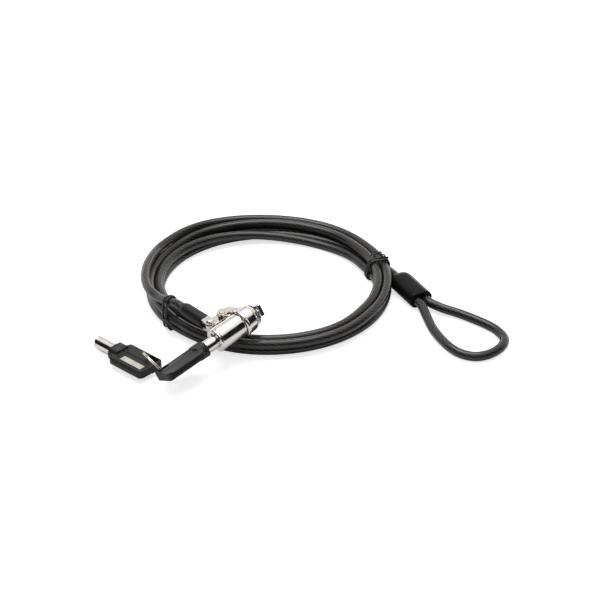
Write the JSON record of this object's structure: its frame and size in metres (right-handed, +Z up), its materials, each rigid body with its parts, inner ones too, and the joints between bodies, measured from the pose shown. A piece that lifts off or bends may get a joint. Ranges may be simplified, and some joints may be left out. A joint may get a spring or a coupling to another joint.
{
  "type": "laptop cable lock",
  "caption": "Laptop cable lock: a coiled steel cable with an anchor loop, and a turning T-bar lock on a hinged link, with its tubular key in place and a spare on the ring.",
  "frame": {"origin": "middle of the box round the lock, the link and the keys, on the table that the coil lies on", "axes": "+Z up from the table; +Y from the keys' side towards the far side of the coil; +X towards the anchor loop"},
  "size_m": [0.1997, 0.16, 0.0251],
  "materials": {
    "cable_jacket": "clear smoke-tinted PVC over steel wire rope",
    "ferrule_black": "black satin sleeve",
    "tie_black": "black PVC over wire",
    "nickel": "polished nickel plate",
    "pin_steel": "bright steel",
    "plug_brass": "machined brass",
    "washer_rubber": "black rubber",
    "spindle_steel": "dark hardened steel",
    "spring_steel": "spring wire",
    "key_plastic": "black moulded plastic",
    "inlay_metal": "satin strip, bare"
  },
  "bodies": {
    "cable": {"cable_coil": "cable_jacket", "cable_lead": "cable_jacket", "eye_cable": "cable_jacket", "eye_ferrule": "ferrule_black", "lock_ferrule": "ferrule_black", "left_tie": "tie_black", "right_tie": "tie_black", "cable_stud": "nickel"},
    "link": {"link_arm": "nickel", "stud_rivet": "nickel"},
    "collar": {"swivel_collar": "nickel", "ear_pin": "nickel"},
    "lock_body": {"lock_sleeve": "nickel", "rear_bezel": "nickel", "pin_stator": "plug_brass", "pin_springs": "spring_steel", "front_plate": "nickel", "rubber_washer": "washer_rubber", "slot_guide_pins": "pin_steel"},
    "driver_pins": {"driver_pins": "pin_steel"},
    "plug": {"key_plug": "plug_brass", "tbar_spindle": "spindle_steel"},
    "key_pins": {"key_pins": "pin_steel"},
    "key": {"key_barrel": "nickel", "key_head": "key_plastic", "key_inlay": "inlay_metal"},
    "ring": {"key_ring": "nickel"},
    "spare_key": {"spare_key_barrel": "nickel", "spare_key_head": "key_plastic", "spare_key_inlay": "inlay_metal"}
  },
  "joints": [
    {"name": "stud_hinge", "type": "hinge", "parent": "cable", "child": "link", "pos_m": [0.01551, 0.0132, 0.01665], "axis": [-0.1418, -0.1277, 0.9816], "range_deg": [-30, 15]},
    {"name": "ear_hinge", "type": "hinge", "parent": "link", "child": "collar", "pos_m": [0.02119, 0.01804, 0.0181], "axis": [-0.1418, -0.1277, 0.9816], "range_deg": [0, 80]},
    {"name": "lock_swivel", "type": "hinge", "parent": "collar", "child": "lock_body", "pos_m": [0.03245, 0.0158, 0.01842], "axis": [0.7295, 0.6568, 0.1908], "continuous": true},
    {"name": "plug_turn", "type": "hinge", "parent": "lock_body", "child": "plug", "pos_m": [0.02297, 0.00726, 0.01594], "axis": [0.7295, 0.6568, 0.1908], "range_deg": [0, 90]},
    {"name": "key_withdraw", "type": "slide", "parent": "plug", "child": "key", "axis": [-0.7295, -0.6568, -0.1908], "range_m": [0, 0.012]},
    {"name": "key_pins_travel", "type": "slide", "parent": "plug", "child": "key_pins", "axis": [-0.7295, -0.6568, -0.1908], "range_m": [0, 0.0018]},
    {"name": "driver_pins_travel", "type": "slide", "parent": "lock_body", "child": "driver_pins", "axis": [-0.7295, -0.6568, -0.1908], "range_m": [0, 0.0018]},
    {"name": "ring_swing", "type": "hinge", "parent": "key", "child": "ring", "pos_m": [-0.00529, -0.01304, 0.00715], "axis": [0.4806, 0.3131, -0.8192], "range_deg": [-4, 4]},
    {"name": "spare_key_swing", "type": "hinge", "parent": "ring", "child": "spare_key", "pos_m": [-0.0118, 0.00071, 0.00425], "axis": [-0.6728, 0.0923, 0.734], "range_deg": [-4, 4]}
  ],
  "couplings": [
    {"joint": "key_pins_travel", "follows": "key_withdraw", "ratio": 0.15},
    {"joint": "driver_pins_travel", "follows": "key_withdraw", "ratio": 0.15}
  ]
}
